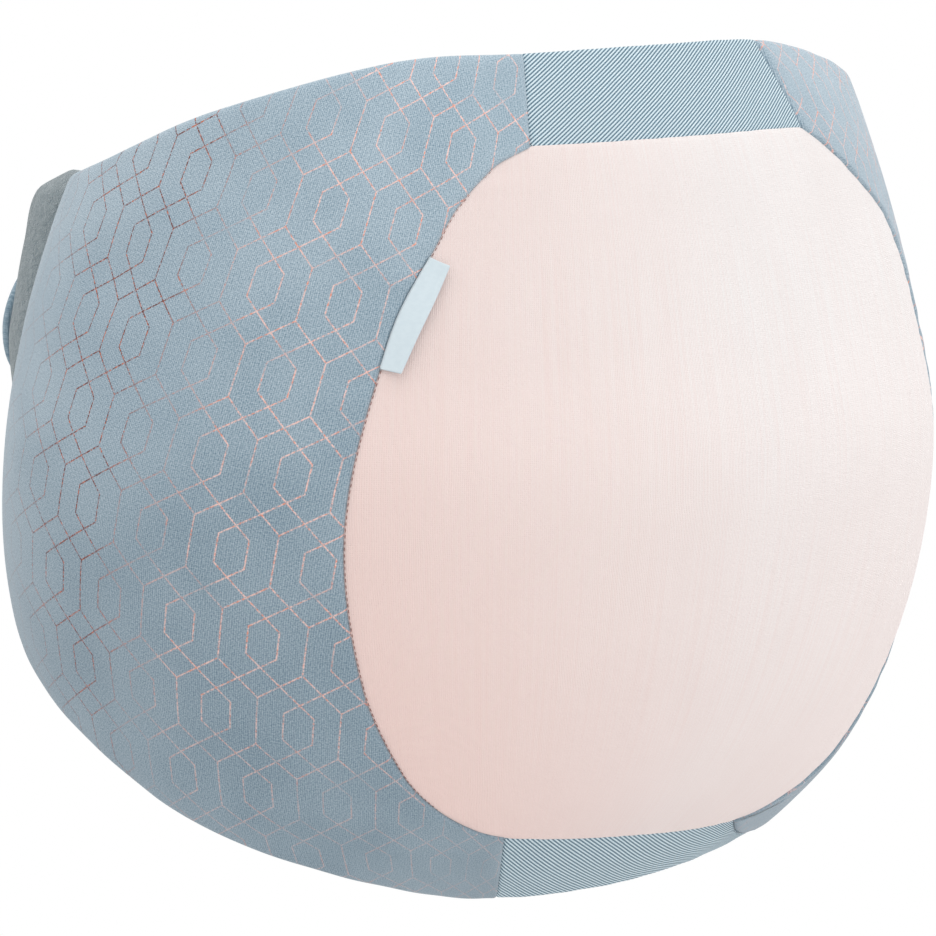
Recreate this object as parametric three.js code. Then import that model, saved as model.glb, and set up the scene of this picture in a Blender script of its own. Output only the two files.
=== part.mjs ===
// Maternity support belt in its worn form: a stretch belly panel between two padded side wings,
// two elastic bands above and below the belly, and a back strap that closes over itself.
// Millimetres, +Z up, the belly toward -Y, the wearer's right toward -X.
// The origin lies on the wearer's torso axis, at the middle of the belt's height.

import * as THREE from 'three';

const { lerp, clamp, degToRad } = THREE.MathUtils;

// Overall form, measured over the cloth
const beltHeight = 290;
const lowestRim = -139;
const halfWidth = 170;
const frontReach = 134;
const backReach = 130;
const frontRoundness = 2.0;
const backRoundness = 2.5;

// Cloth thicknesses
const panelThickness = 1.6;
const elasticThickness = 2.2;
const wingEdgeThickness = 3.2;
const wingPadThickness = 15;
const strapThickness = 5;
const tabThickness = 3;
const hookThickness = 1.6;
const tagThickness = 0.9;

// How far each outer face lies under the wings' outer face
const wingEdgeDrop = 1;
const panelDrop = 1.2;
const elasticDrop = 0.8;

// Clearance between neighbouring pieces
const seamGap = 0.3;

// Width of the soft rounding along a wing's edges, and a wing's rough length from seam to strap
const edgeRounding = 6;
const wingLength = 230;

// Grid lines along the seam, the same on the panel and on the wings, so that both follow one line
const seamLines = 18;

// Angles are degrees round the torso axis, 0 at the belly and 90 at the wearer's right hip.
// Shares of height run from the lower rim (0) to the upper rim (1) at that angle.
const topElasticShare = 0.897;
const wingRearAngle = 121;
const strapEndAngle = 205;
const tab = { endAngle: 132, taper: 40, middle: 0.565, halfShare: 0.25, roundness: 3 };
const strapLift = 18;
const hookPatch = { fromAngle: 158, toAngle: 190, low: 0.48, high: 0.86 };
const sideTag = { from: 0.664, to: 0.803, width: 6.2, belly: 0.25, rise: 2.6 };

// Horizontal sections, as shares of beltHeight, halfWidth, frontReach and backReach
const sections = [
  { height: -0.05, width: 0.5, front: 0.22, back: 0.58 },
  { height: 0, width: 0.63, front: 0.37, back: 0.7 },
  { height: 0.06, width: 0.745, front: 0.54, back: 0.81 },
  { height: 0.14, width: 0.85, front: 0.715, back: 0.91 },
  { height: 0.255, width: 0.932, front: 0.865, back: 0.975 },
  { height: 0.39, width: 0.987, front: 0.96, back: 1 },
  { height: 0.53, width: 0.996, front: 1, back: 0.97 },
  { height: 0.67, width: 0.95, front: 0.952, back: 0.94 },
  { height: 0.79, width: 0.895, front: 0.893, back: 0.86 },
  { height: 0.9, width: 0.836, front: 0.81, back: 0.75 },
  { height: 1, width: 0.79, front: 0.68, back: 0.66 },
  { height: 1.08, width: 0.77, front: 0.57, back: 0.6 },
];

// Heights of the two rims round the belt, as shares of beltHeight.
// askew says how much higher the upper rim is at the wearer's right, and lower at the left.
const rims = [
  { angle: 0, low: -0.004, high: 1.004, askew: 0 },
  { angle: 32, low: 0, high: 0.9995, askew: 0.001 },
  { angle: 55, low: 0.021, high: 0.9785, askew: 0.015 },
  { angle: 80, low: 0.1, high: 0.923, askew: 0.015 },
  { angle: 105, low: 0.226, high: 0.857, askew: 0.0055 },
  { angle: 128, low: 0.364, high: 0.83, askew: 0 },
  { angle: 150, low: 0.43, high: 0.806, askew: 0 },
  { angle: 180, low: 0.438, high: 0.785, askew: 0 },
];

// The seam between the belly panel and a wing, from its lower end (0) to its upper end (1).
// turn and tilt say how much the worn belt sits askew, the same way on both sides.
const seam = [
  { along: 0, angle: 36.6, share: 0.083, turn: -0.6, tilt: 0.013 },
  { along: 0.06, angle: 44.9, share: 0.091, turn: -2, tilt: 0.018 },
  { along: 0.13, angle: 51.7, share: 0.114, turn: -2.7, tilt: 0.026 },
  { along: 0.2, angle: 55.5, share: 0.154, turn: -2.9, tilt: 0.028 },
  { along: 0.32, angle: 59, share: 0.263, turn: -2.9, tilt: 0.021 },
  { along: 0.5, angle: 60.4, share: 0.475, turn: -3.4, tilt: 0 },
  { along: 0.7, angle: 55.8, share: 0.692, turn: -3.6, tilt: 0 },
  { along: 0.83, angle: 48.9, share: 0.799, turn: -2.6, tilt: 0 },
  { along: 0.88, angle: 44.2, share: 0.832, turn: -0.2, tilt: 0 },
  { along: 0.93, angle: 39.3, share: 0.861, turn: 1.4, tilt: 0 },
  { along: 0.97, angle: 35.4, share: 0.881, turn: 2.2, tilt: 0 },
  { along: 1, angle: 30.6, share: 0.897, turn: 2, tilt: 0 },
];

// How far the strap stands off round the wearer's back, as a share of strapLift
const strapLifts = [
  { angle: 121, lift: 0 },
  { angle: 123, lift: -0.4 },
  { angle: 126.5, lift: 0.5 },
  { angle: 131, lift: 1 },
  { angle: 150, lift: 0.85 },
  { angle: 180, lift: 0.6 },
  { angle: 205, lift: 0.5 },
];

// How much of that stand-off each height has; the soft upper edge curls back in
const strapBulges = [
  { share: 0, bulge: 0 },
  { share: 0.25, bulge: 0.05 },
  { share: 0.38, bulge: 0.17 },
  { share: 0.47, bulge: 0.45 },
  { share: 0.57, bulge: 0.66 },
  { share: 0.67, bulge: 0.71 },
  { share: 0.8, bulge: 0.83 },
  { share: 0.92, bulge: 0.94 },
  { share: 1, bulge: 0.52 },
];

// A smooth curve through a table's rows: every column at one value of its key column
function smoothAt(rows, key, value) {
  const last = rows.length - 1;
  let index = 0;
  while (index < last - 1 && rows[index + 1][key] <= value) index += 1;
  const [from, to] = [rows[index], rows[index + 1]];
  const step = to[key] - from[key];
  const u = clamp((value - from[key]) / step, 0, 1);
  const slope = (row, column) => {
    if (row === 0 || row === last) return 0;
    return (rows[row + 1][column] - rows[row - 1][column]) / (rows[row + 1][key] - rows[row - 1][key]);
  };
  const columns = {};
  for (const column of Object.keys(from)) {
    const leaving = step * slope(index, column) * u * (1 - u) ** 2;
    const arriving = step * slope(index + 1, column) * u * u * (1 - u);
    columns[column] = lerp(from[column], to[column], u * u * (3 - 2 * u)) + leaving - arriving;
  }
  return columns;
}

// Any angle folded to 0 (belly) ... 180 (spine), as both sides of the body are alike
function folded(angle) {
  return Math.abs(((((angle + 180) % 360) + 360) % 360) - 180);
}

// A point on the body's outer form
function bodyPoint(angle, share) {
  const rim = smoothAt(rims, 'angle', folded(angle));
  const sine = Math.sin(degToRad(angle));
  const height = lerp(rim.low, rim.high + Math.sign(sine) * rim.askew, share);
  const section = smoothAt(sections, 'height', height);
  const cosine = Math.cos(degToRad(angle));
  const reach = cosine > 0 ? section.front * frontReach : section.back * backReach;
  const roundness = cosine > 0 ? frontRoundness : backRoundness;
  const across = Math.abs(sine) / (section.width * halfWidth);
  const along = Math.abs(cosine) / reach;
  const radius = (across ** roundness + along ** roundness) ** (-1 / roundness);
  return new THREE.Vector3(-radius * sine, -radius * cosine, lowestRim + beltHeight * height);
}

// The same point moved out of the body by an offset, square to the surface
function place(angle, share, offset) {
  const point = bodyPoint(angle, share);
  const alongAngle = bodyPoint(angle + 0.5, share).sub(bodyPoint(angle - 0.5, share));
  const alongShare = bodyPoint(angle, share + 0.01).sub(bodyPoint(angle, share - 0.01));
  const outward = alongShare.cross(alongAngle).normalize();
  return point.addScaledVector(outward, offset);
}

// Angle and share of a spot that lies some millimetres right and up from another one
function stepped({ angle, share }, right, up) {
  const here = bodyPoint(angle, share);
  const millimetresPerDegree = here.distanceTo(bodyPoint(angle + 1, share));
  const millimetresPerShare = here.distanceTo(bodyPoint(angle, share + 0.01)) * 100;
  return { angle: angle + right / millimetresPerDegree, share: share + up / millimetresPerShare };
}

// A spot on the belly panel's seam; side is 1 at the wearer's right and -1 at the left
function seamSpot(along, side) {
  const row = smoothAt(seam, 'along', along);
  return { angle: side * row.angle + row.turn, share: row.share + side * row.tilt };
}

// A wing's whole front edge: the lower elastic's end, the panel's seam, the upper elastic's end.
// The lower elastic flares toward its rim at the wearer's left, in degrees.
const seamStart = 0.08;
const seamFinish = 0.9;
const lowerFlare = { right: 0, left: 24 };
function frontEdgeSpot(rise, side) {
  const spot = seamSpot(clamp((rise - seamStart) / (seamFinish - seamStart), 0, 1), side);
  if (rise < seamStart) {
    const flare = (side > 0 ? lowerFlare.right : -lowerFlare.left) * (1 - rise / seamStart);
    return { angle: spot.angle + flare, share: (spot.share * rise) / seamStart };
  }
  if (rise > seamFinish) {
    return { angle: spot.angle, share: lerp(spot.share, 1, (rise - seamFinish) / (1 - seamFinish)) };
  }
  return spot;
}

// That edge moved square to itself, toward the wearer's right where shift is positive
function shiftedFrontEdge(rise, side, shift) {
  const step = 0.004;
  const below = frontEdgeSpot(Math.max(rise - step, 0), side);
  const above = frontEdgeSpot(Math.min(rise + step, 1), side);
  const spot = frontEdgeSpot(rise, side);
  const run = bodyPoint(above.angle, spot.share).distanceTo(bodyPoint(below.angle, spot.share));
  const climb = bodyPoint(spot.angle, above.share).distanceTo(bodyPoint(spot.angle, below.share));
  const length = Math.hypot(run, climb);
  const leftward = Math.sign(below.angle - above.angle);
  return stepped(spot, (shift * climb) / length, (shift * leftward * run) / length);
}

// Even shares from 0 to 1, with one more line close to each end for the soft edges
function evenLines(count, edgeShare = 0) {
  const lines = Array.from({ length: count + 1 }, (_, index) => index / count);
  if (edgeShare > 0) lines.splice(1, 0, edgeShare);
  if (edgeShare > 0) lines.splice(lines.length - 1, 0, 1 - edgeShare);
  return lines;
}

// A closed cloth solid: an outer face over a grid, an inner face behind it and a wall round the edge
function clothGeometry(columns, rows, outer, inner) {
  const positions = [];
  for (const face of [outer, inner]) {
    for (const v of rows) for (const u of columns) positions.push(...face(u, v).toArray());
  }
  const width = columns.length;
  const faceSize = width * rows.length;
  const corner = (face, column, row) => face * faceSize + row * width + column;
  const triangles = [];
  const quad = (a, b, c, d) => triangles.push(a, b, c, a, c, d);
  for (let row = 0; row < rows.length - 1; row += 1) {
    for (let column = 0; column < width - 1; column += 1) {
      const [a, b] = [corner(0, column, row), corner(0, column + 1, row)];
      const [c, d] = [corner(0, column + 1, row + 1), corner(0, column, row + 1)];
      quad(a, d, c, b);
      quad(a + faceSize, b + faceSize, c + faceSize, d + faceSize);
    }
  }
  const edge = [];
  for (let column = 0; column < width - 1; column += 1) edge.push(corner(0, column, 0));
  for (let row = 0; row < rows.length - 1; row += 1) edge.push(corner(0, width - 1, row));
  for (let column = width - 1; column > 0; column -= 1) edge.push(corner(0, column, rows.length - 1));
  for (let row = rows.length - 1; row > 0; row -= 1) edge.push(corner(0, 0, row));
  edge.forEach((here, index) => {
    const next = edge[(index + 1) % edge.length];
    quad(here, next, next + faceSize, here + faceSize);
  });
  const geometry = new THREE.BufferGeometry();
  geometry.setAttribute('position', new THREE.Float32BufferAttribute(positions, 3));
  geometry.setIndex(triangles);
  return geometry;
}

// Turns a solid's faces the right way out where its grid ran the other way round the body
function facingOut(geometry) {
  const corners = geometry.toNonIndexed().getAttribute('position');
  const [a, b, c] = [new THREE.Vector3(), new THREE.Vector3(), new THREE.Vector3()];
  let volume = 0;
  for (let index = 0; index < corners.count; index += 3) {
    a.fromBufferAttribute(corners, index);
    b.fromBufferAttribute(corners, index + 1);
    c.fromBufferAttribute(corners, index + 2);
    volume += a.dot(b.cross(c));
  }
  if (volume < 0) geometry.setIndex(Array.from(geometry.getIndex().array).reverse());
  geometry.computeVertexNormals();
  return geometry;
}

// A piece whose two faces follow the body's form; spot gives angle, share, outer and inner offsets
function clothPiece(name, material, columns, rows, spot) {
  const face = (side) => (u, v) => {
    const at = spot(u, v);
    return place(at.angle, at.share, at[side]);
  };
  const mesh = new THREE.Mesh(facingOut(clothGeometry(columns, rows, face('outer'), face('inner'))), material);
  mesh.name = name;
  return mesh;
}

function cloth(color, roughness) {
  return new THREE.MeshStandardMaterial({ color, roughness, metalness: 0, flatShading: true });
}

// The stretch jersey over the belly
function bellyPanel() {
  const spot = (u, v) => {
    const rise = lerp(seamStart, seamFinish, v);
    const left = shiftedFrontEdge(rise, -1, seamGap / 2);
    const right = shiftedFrontEdge(rise, 1, -seamGap / 2);
    const level = { angle: lerp(left.angle, right.angle, u), share: lerp(left.share, right.share, u) };
    const clear = stepped(level, 0, seamGap * (1 - 2 * v));
    return { ...clear, outer: -panelDrop, inner: -panelDrop - panelThickness };
  };
  return clothPiece('belly_panel', cloth(0xf2dfdb, 0.85), evenLines(24), evenLines(seamLines), spot);
}

// The ribbed elastic bands above and below the panel
function elasticBand(name, lowShare, highShare, lowRise, highRise) {
  const spot = (u, v) => {
    const rise = lerp(lowRise, highRise, v);
    const left = shiftedFrontEdge(rise, -1, seamGap / 2);
    const right = shiftedFrontEdge(rise, 1, -seamGap / 2);
    const share = lerp(lowShare(u), highShare(u), v);
    const angle = lerp(left.angle, right.angle, u);
    return { angle, share, outer: -elasticDrop, inner: -elasticDrop - elasticThickness };
  };
  return clothPiece(name, cloth(0xa9c3cf, 0.8), evenLines(14), evenLines(3), spot);
}

function topElastic() {
  return elasticBand('top_elastic', () => topElasticShare, () => 1, seamFinish, 1);
}

function bottomElastic() {
  const [left, right] = [seamSpot(0, -1), seamSpot(0, 1)];
  return elasticBand('bottom_elastic', () => 0, (u) => lerp(left.share, right.share, u), 0, seamStart);
}

// Fullness of a cushion across one direction: nothing at both edges, whole in the middle
function fullness(share) {
  return Math.sqrt(1 - (2 * share - 1) ** 4);
}

// A padded side wing, from the panel and the elastics round the hip to the back strap
function sideWing(name, side) {
  const edgeShare = edgeRounding / wingLength;
  const columns = evenLines(16, edgeShare);
  const seamRows = evenLines(seamLines).map((share) => lerp(seamStart, seamFinish, share));
  const rows = [0, edgeShare, ...seamRows, 1 - edgeShare, 1];
  const spot = (u, v) => {
    const front = shiftedFrontEdge(v, side, (side * seamGap) / 2);
    const angle = lerp(front.angle, side * wingRearAngle, u);
    const share = lerp(front.share, v, u * u);
    const outer = u === 0 || u === 1 || v === 0 || v === 1 ? -wingEdgeDrop : 0;
    const padding = (wingPadThickness - wingEdgeThickness) * fullness(u) * fullness(v);
    return { angle, share, outer, inner: -wingEdgeDrop - wingEdgeThickness - padding };
  };
  return clothPiece(name, cloth(0x9fb3be, 0.9), columns, rows, spot);
}

// Offset of the inner strap's outer face; it leaves the wing flush and stands off more at the top
function strapOffset(angle, share) {
  const bulge = smoothAt(strapBulges, 'share', share).bulge;
  return strapLift * smoothAt(strapLifts, 'angle', angle).lift * bulge - wingEdgeDrop;
}

// The inner back strap, from the right wing round the back
function innerStrap() {
  const startAngle = stepped({ angle: wingRearAngle, share: 0.5 }, seamGap, 0).angle;
  const spot = (u, v) => {
    const angle = lerp(startAngle, strapEndAngle, u);
    const outer = strapOffset(angle, v);
    return { angle, share: v, outer, inner: outer - strapThickness };
  };
  return clothPiece('back_strap_right', cloth(0x8d989c, 1), evenLines(18), evenLines(14), spot);
}

// Offset of the outer strap's inner face: over the inner strap and its patch, then down to the left wing
function outerStrapOffset(angle, share) {
  const overInner = strapOffset(Math.min(angle, strapEndAngle), share) + hookThickness + 2 * seamGap;
  const leftWingAngle = 360 - wingRearAngle;
  const descent = clamp((leftWingAngle - angle) / (leftWingAngle - strapEndAngle - 5), 0, 1);
  const flush = -wingEdgeDrop - tabThickness;
  return lerp(flush, overInner, descent * descent * (3 - 2 * descent));
}

// Angle of the outer strap's end, which narrows to a rounded tab
function tabEndAngle(share) {
  const away = Math.abs(share - tab.middle) / tab.halfShare;
  return tab.endAngle + tab.taper * (1 - Math.exp(-0.5 * away ** tab.roundness));
}

// The outer back strap, from the left wing round the back to its closing tab
function outerStrap() {
  const startAngle = 360 - stepped({ angle: wingRearAngle, share: 0.5 }, seamGap, 0).angle;
  const spot = (u, v) => {
    const angle = lerp(startAngle, tabEndAngle(v), u);
    const inner = outerStrapOffset(angle, v);
    return { angle, share: v, outer: inner + tabThickness, inner };
  };
  return clothPiece('back_strap_left', cloth(0x93a7b3, 0.9), evenLines(24), evenLines(18), spot);
}

// The patch of hooks between the two straps
function hookPatchPiece() {
  const spot = (u, v) => {
    const angle = lerp(hookPatch.fromAngle, hookPatch.toAngle, u);
    const share = lerp(hookPatch.low, hookPatch.high, v);
    const inner = strapOffset(angle, share) + seamGap;
    return { angle, share, outer: inner + hookThickness, inner };
  };
  return clothPiece('hook_patch', cloth(0xc9d2d6, 0.7), evenLines(8), evenLines(4), spot);
}

// The folded side tag, sewn into the seam and lifting off the panel
function sideTagPiece() {
  const spot = (u, v) => {
    const rise = lerp(seamStart, seamFinish, lerp(sideTag.from, sideTag.to, v));
    const width = sideTag.width * (1 + sideTag.belly * Math.sin(Math.PI * v));
    const angleAndShare = shiftedFrontEdge(rise, 1, -seamGap - width * u);
    const inner = -panelDrop + seamGap + sideTag.rise * u ** 1.5;
    return { ...angleAndShare, outer: inner + tagThickness, inner };
  };
  return clothPiece('side_tag', cloth(0xd6e2e8, 0.6), evenLines(3), evenLines(4), spot);
}

const maternityBelt = new THREE.Group();
maternityBelt.name = 'maternity_support_belt';
maternityBelt.add(
  bellyPanel(),
  topElastic(),
  bottomElastic(),
  sideWing('side_wing_right', 1),
  sideWing('side_wing_left', -1),
  innerStrap(),
  outerStrap(),
  hookPatchPiece(),
  sideTagPiece(),
);

export default maternityBelt;
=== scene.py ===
"""Maternity support belt in its worn form: cloth pieces, print, stitches, finishes, camera and light."""

import math
from collections import namedtuple

import bpy
import numpy as np
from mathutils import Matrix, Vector


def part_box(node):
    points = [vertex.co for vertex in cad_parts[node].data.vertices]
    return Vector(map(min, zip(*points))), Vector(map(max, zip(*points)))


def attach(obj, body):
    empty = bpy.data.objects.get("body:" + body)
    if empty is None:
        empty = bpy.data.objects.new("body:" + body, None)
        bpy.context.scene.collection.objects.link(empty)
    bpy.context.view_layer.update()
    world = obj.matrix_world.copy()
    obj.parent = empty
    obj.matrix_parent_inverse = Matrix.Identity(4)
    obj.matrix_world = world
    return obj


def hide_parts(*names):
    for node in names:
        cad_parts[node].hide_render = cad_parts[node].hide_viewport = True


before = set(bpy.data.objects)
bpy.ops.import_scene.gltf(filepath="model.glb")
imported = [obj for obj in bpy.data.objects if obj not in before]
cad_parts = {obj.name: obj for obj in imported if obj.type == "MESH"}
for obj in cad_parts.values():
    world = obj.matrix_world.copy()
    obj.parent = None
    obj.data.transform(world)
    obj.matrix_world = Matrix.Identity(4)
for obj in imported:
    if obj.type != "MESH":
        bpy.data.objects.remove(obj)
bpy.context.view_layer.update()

MM = 0.001

# Form of the worn belt, in metres, as the CAD model has it
PANEL_DROP = 1.2 * MM
BELT_HEIGHT = 290 * MM
LOWEST_RIM = -139 * MM
HALF_WIDTH = -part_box("side_wing_right")[0].x
FRONT_REACH = PANEL_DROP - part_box("belly_panel")[0].y
BACK_REACH = 130 * MM
FRONT_ROUNDNESS = 2.0
BACK_ROUNDNESS = 2.5

# Cloth thicknesses and how far each outer face lies under the wings' outer face
PANEL_THICKNESS = 1.6 * MM
ELASTIC_THICKNESS = 2.2 * MM
ELASTIC_DROP = 0.8 * MM
WING_EDGE_THICKNESS = 3.2 * MM
WING_EDGE_DROP = 1.0 * MM
WING_PAD_THICKNESS = 15 * MM
STRAP_THICKNESS = 5 * MM
TAB_THICKNESS = 3.0 * MM
HOOK_THICKNESS = 1.6 * MM
TAG_THICKNESS = 0.9 * MM
SEAM_GAP = 0.3 * MM

# How far a sewn edge is tucked under its neighbour, so that no light passes the seam
SEAM_TUCK = 0.45 * MM

# Angles are degrees round the torso axis, 0 at the belly and 90 at the wearer's right hip.
# Shares of height run from the lower rim (0) to the upper rim (1) at that angle.
TOP_ELASTIC_SHARE = 0.897
SEAM_START = 0.08
SEAM_FINISH = 0.9
LOWER_FLARE = {1: 0, -1: -24}
WING_REAR_ANGLE = 121
STRAP_END_ANGLE = 205
STRAP_LIFT = 18 * MM

Section = namedtuple("Section", "height width front back")
SECTIONS = [
    Section(-0.05, 0.5, 0.22, 0.58),
    Section(0, 0.63, 0.37, 0.7),
    Section(0.06, 0.745, 0.54, 0.81),
    Section(0.14, 0.85, 0.715, 0.91),
    Section(0.255, 0.932, 0.865, 0.975),
    Section(0.39, 0.987, 0.96, 1),
    Section(0.53, 0.996, 1, 0.97),
    Section(0.67, 0.95, 0.952, 0.94),
    Section(0.79, 0.895, 0.893, 0.86),
    Section(0.9, 0.836, 0.81, 0.75),
    Section(1, 0.79, 0.68, 0.66),
    Section(1.08, 0.77, 0.57, 0.6),
]

Rim = namedtuple("Rim", "angle low high askew")
RIMS = [
    Rim(0, -0.004, 1.004, 0),
    Rim(32, 0, 0.9995, 0.001),
    Rim(55, 0.021, 0.9785, 0.015),
    Rim(80, 0.1, 0.923, 0.015),
    Rim(105, 0.226, 0.857, 0.0055),
    Rim(128, 0.364, 0.83, 0),
    Rim(150, 0.43, 0.806, 0),
    Rim(180, 0.438, 0.785, 0),
]

SeamRow = namedtuple("SeamRow", "along angle share turn tilt")
SEAM = [
    SeamRow(0, 36.6, 0.083, -0.6, 0.013),
    SeamRow(0.06, 44.9, 0.091, -2, 0.018),
    SeamRow(0.13, 51.7, 0.114, -2.7, 0.026),
    SeamRow(0.2, 55.5, 0.154, -2.9, 0.028),
    SeamRow(0.32, 59, 0.263, -2.9, 0.021),
    SeamRow(0.5, 60.4, 0.475, -3.4, 0),
    SeamRow(0.7, 55.8, 0.692, -3.6, 0),
    SeamRow(0.83, 48.9, 0.799, -2.6, 0),
    SeamRow(0.88, 44.2, 0.832, -0.2, 0),
    SeamRow(0.93, 39.3, 0.861, 1.4, 0),
    SeamRow(0.97, 35.4, 0.881, 2.2, 0),
    SeamRow(1, 30.6, 0.897, 2, 0),
]

StrapLift = namedtuple("StrapLift", "angle lift")
STRAP_LIFTS = [
    StrapLift(121, 0),
    StrapLift(123, -0.4),
    StrapLift(126.5, 0.5),
    StrapLift(131, 1),
    StrapLift(150, 0.85),
    StrapLift(180, 0.6),
    StrapLift(205, 0.5),
]

StrapBulge = namedtuple("StrapBulge", "share bulge")
STRAP_BULGES = [
    StrapBulge(0, 0),
    StrapBulge(0.25, 0.05),
    StrapBulge(0.38, 0.17),
    StrapBulge(0.47, 0.45),
    StrapBulge(0.57, 0.66),
    StrapBulge(0.67, 0.71),
    StrapBulge(0.8, 0.83),
    StrapBulge(0.92, 0.94),
    StrapBulge(1, 0.52),
]

# Rough sizes of the pieces, by which their lines are spaced and their edges rolled
PANEL_WIDTH = 240 * MM
PANEL_HEIGHT = 270 * MM
BAND_HEIGHT = 33 * MM
WING_LENGTH = 230 * MM
WING_HEIGHT = 260 * MM
INNER_STRAP_LENGTH = 215 * MM
OUTER_STRAP_LENGTH = 272 * MM
STRAP_HEIGHT = 116 * MM
HOOK_LENGTH = 74 * MM
HOOK_HEIGHT = 48 * MM
TAG_LENGTH = 43 * MM

# The wings' edges are rolled within this width, and the straps start this far under the wings
WING_EDGE = 4 * MM
STRAP_TUCK = 1.5 * MM

# The outer strap narrows to a rounded tab: where it ends, how much it tapers, and its middle and half height
TAB_END_ANGLE = 132
TAB_TAPER = 40
TAB_MIDDLE = 0.565
TAB_HALF_SHARE = 0.25
TAB_ROUNDNESS = 3

# The hook patch: its ends in degrees, and its lower and upper edge as shares of height
HOOK_FROM = 158
HOOK_TO = 190
HOOK_LOW = 0.48
HOOK_HIGH = 0.86

# The side tag: its ends as shares of the panel's seam, its width, how much wider its middle is, and its lift
TAG_FROM = 0.664
TAG_TO = 0.803
TAG_WIDTH = 6.2 * MM
TAG_BELLY = 0.25
TAG_RISE = 2.6 * MM
TAG_WAVE = 0.35 * MM

# Soft dents in the padded wings: place, half sizes in degrees and share, and depth in millimetres
Dent = namedtuple("Dent", "angle share wide tall depth")
DENTS = [
    Dent(92, 0.8, 7, 0.06, 1.5),
    Dent(78, 0.9, 9, 0.05, 0.9),
    Dent(104, 0.62, 6, 0.12, 0.9),
    Dent(66, 0.3, 9, 0.07, 0.8),
    Dent(84, 0.14, 10, 0.06, 1.0),
]


# Form


def smooth_at(rows, values):
    """Every column of a table at the given values of its first column, on one smooth curve."""
    table = np.array(rows, float)
    keys = table[:, 0]
    slopes = np.zeros_like(table)
    slopes[1:-1] = (table[2:] - table[:-2]) / (keys[2:] - keys[:-2])[:, None]
    values = np.clip(np.asarray(values, float), keys[0], keys[-1])
    index = np.clip(np.searchsorted(keys, values, side="right") - 1, 0, len(keys) - 2)
    step = (keys[index + 1] - keys[index])[..., None]
    u = (values - keys[index])[..., None] / step
    ease = u * u * (3 - 2 * u)
    leaving = step * slopes[index] * u * (1 - u) ** 2
    arriving = step * slopes[index + 1] * u * u * (1 - u)
    return table[index] * (1 - ease) + table[index + 1] * ease + leaving - arriving


def body(angle, share):
    """Points on the body's outer form."""
    angle, share = np.broadcast_arrays(np.asarray(angle, float), np.asarray(share, float))
    rim = smooth_at(RIMS, np.abs((angle + 180) % 360 - 180))
    sine, cosine = np.sin(np.radians(angle)), np.cos(np.radians(angle))
    top = rim[..., 2] + np.sign(sine) * rim[..., 3]
    height = rim[..., 1] + (top - rim[..., 1]) * share
    section = smooth_at(SECTIONS, height)
    ahead = cosine > 0
    reach = np.where(ahead, section[..., 2] * FRONT_REACH, section[..., 3] * BACK_REACH)
    roundness = np.where(ahead, FRONT_ROUNDNESS, BACK_ROUNDNESS)
    across = np.abs(sine) / (section[..., 1] * HALF_WIDTH)
    along = np.abs(cosine) / reach
    radius = (across**roundness + along**roundness) ** (-1 / roundness)
    return np.stack([-radius * sine, -radius * cosine, LOWEST_RIM + BELT_HEIGHT * height], -1)


def outward(angle, share):
    """Unit vectors that point square out of the body's form."""
    along_angle = body(angle + 0.5, share) - body(angle - 0.5, share)
    along_share = body(angle, share + 0.01) - body(angle, share - 0.01)
    normal = np.cross(along_share, along_angle)
    return normal / np.linalg.norm(normal, axis=-1, keepdims=True)


def place(angle, share, offset):
    """Points moved square out of the body's form by an offset."""
    return body(angle, share) + outward(angle, share) * np.asarray(offset)[..., None]


def spacing(points, axis):
    """Lengths of the steps along one direction of a grid of points."""
    return np.linalg.norm(np.diff(points, axis=axis), axis=-1)


def stepped(angle, share, right, up):
    """Angle and share that lie some metres right and up from others."""
    here = body(angle, share)
    per_degree = np.linalg.norm(body(angle + 1, share) - here, axis=-1)
    per_share = np.linalg.norm(body(angle, share + 0.01) - here, axis=-1) * 100
    return angle + right / per_degree, share + up / per_share


def seam_spot(along, side):
    """Angle and share on the belly panel's seam; side is 1 at the wearer's right and -1 at the left."""
    row = smooth_at(SEAM, along)
    return side * row[..., 1] + row[..., 3], row[..., 2] + side * row[..., 4]


def front_edge(rise, side):
    """A wing's front edge: the lower elastic's end, the panel's seam and the upper elastic's end."""
    rise = np.asarray(rise, float)
    angle, share = seam_spot(np.clip((rise - SEAM_START) / (SEAM_FINISH - SEAM_START), 0, 1), side)
    above = share + (1 - share) * (rise - SEAM_FINISH) / (1 - SEAM_FINISH)
    below = np.clip(1 - rise / SEAM_START, 0, 1)
    angle, share = angle + LOWER_FLARE[side] * below, share * (1 - below)
    return angle, np.where(rise > SEAM_FINISH, above, share)


def seam_rise(along):
    """Rise on a wing's front edge at a share of the panel's seam."""
    return SEAM_START + (SEAM_FINISH - SEAM_START) * along


def shifted_front_edge(rise, side, shift):
    """That edge moved square to itself, toward the wearer's right where shift is positive."""
    step = 0.004
    low_angle, low_share = front_edge(np.maximum(rise - step, 0), side)
    high_angle, high_share = front_edge(np.minimum(rise + step, 1), side)
    angle, share = front_edge(rise, side)
    run = np.linalg.norm(body(high_angle, share) - body(low_angle, share), axis=-1)
    climb = np.linalg.norm(body(angle, high_share) - body(angle, low_share), axis=-1)
    length = np.hypot(run, climb)
    lean = np.sign(low_angle - high_angle)
    return stepped(angle, share, shift * climb / length, shift * lean * run / length)


def strap_offset(angle, share):
    """Offset of the inner strap's outer face; it leaves the wing flush and stands off more at the top."""
    lift = smooth_at(STRAP_LIFTS, angle)[..., 1]
    return STRAP_LIFT * lift * smooth_at(STRAP_BULGES, share)[..., 1] - WING_EDGE_DROP


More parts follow.
